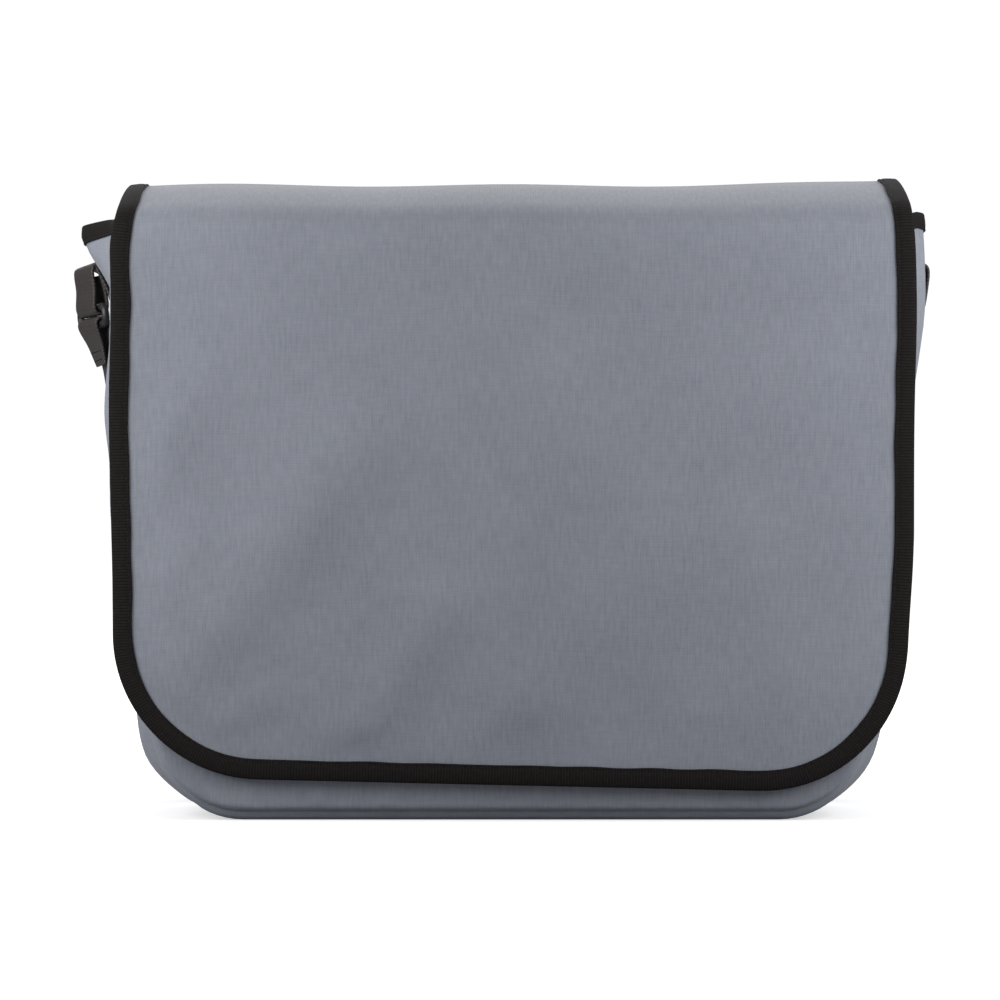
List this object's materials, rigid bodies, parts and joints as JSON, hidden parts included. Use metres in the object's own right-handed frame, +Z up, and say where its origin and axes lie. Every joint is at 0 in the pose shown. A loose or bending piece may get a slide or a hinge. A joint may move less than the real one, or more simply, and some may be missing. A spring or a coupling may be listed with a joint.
{
  "type": "laptop bag",
  "caption": "Soft grey cloth messenger laptop bag with a wide rounded front flap bound in black tape and a webbing shoulder strap on plastic rings.",
  "frame": {"origin": "centre of the flat base between the four lower seams, on the ground", "axes": "+Z up, +X to the right across the front, the flap's front faces -Y"},
  "size_m": [0.4486, 0.1821, 0.3285],
  "materials": {
    "grey_cloth": "woven polyester, coated inside, matte",
    "black_tape": "ribbed binding tape, matte",
    "black_webbing": "woven strap webbing, matte",
    "black_plastic": "moulded, satin"
  },
  "bodies": {
    "root": {"front_panel": "grey_cloth", "back_panel": "grey_cloth", "gusset": "grey_cloth", "flap": "grey_cloth", "mouth_binding": "black_tape", "flap_binding": "black_tape", "strap_tab_left": "black_webbing", "strap_tab_right": "black_webbing", "shoulder_strap": "black_webbing", "strap_ring_left": "black_plastic", "strap_ring_right": "black_plastic"}
  },
  "joints": []
}
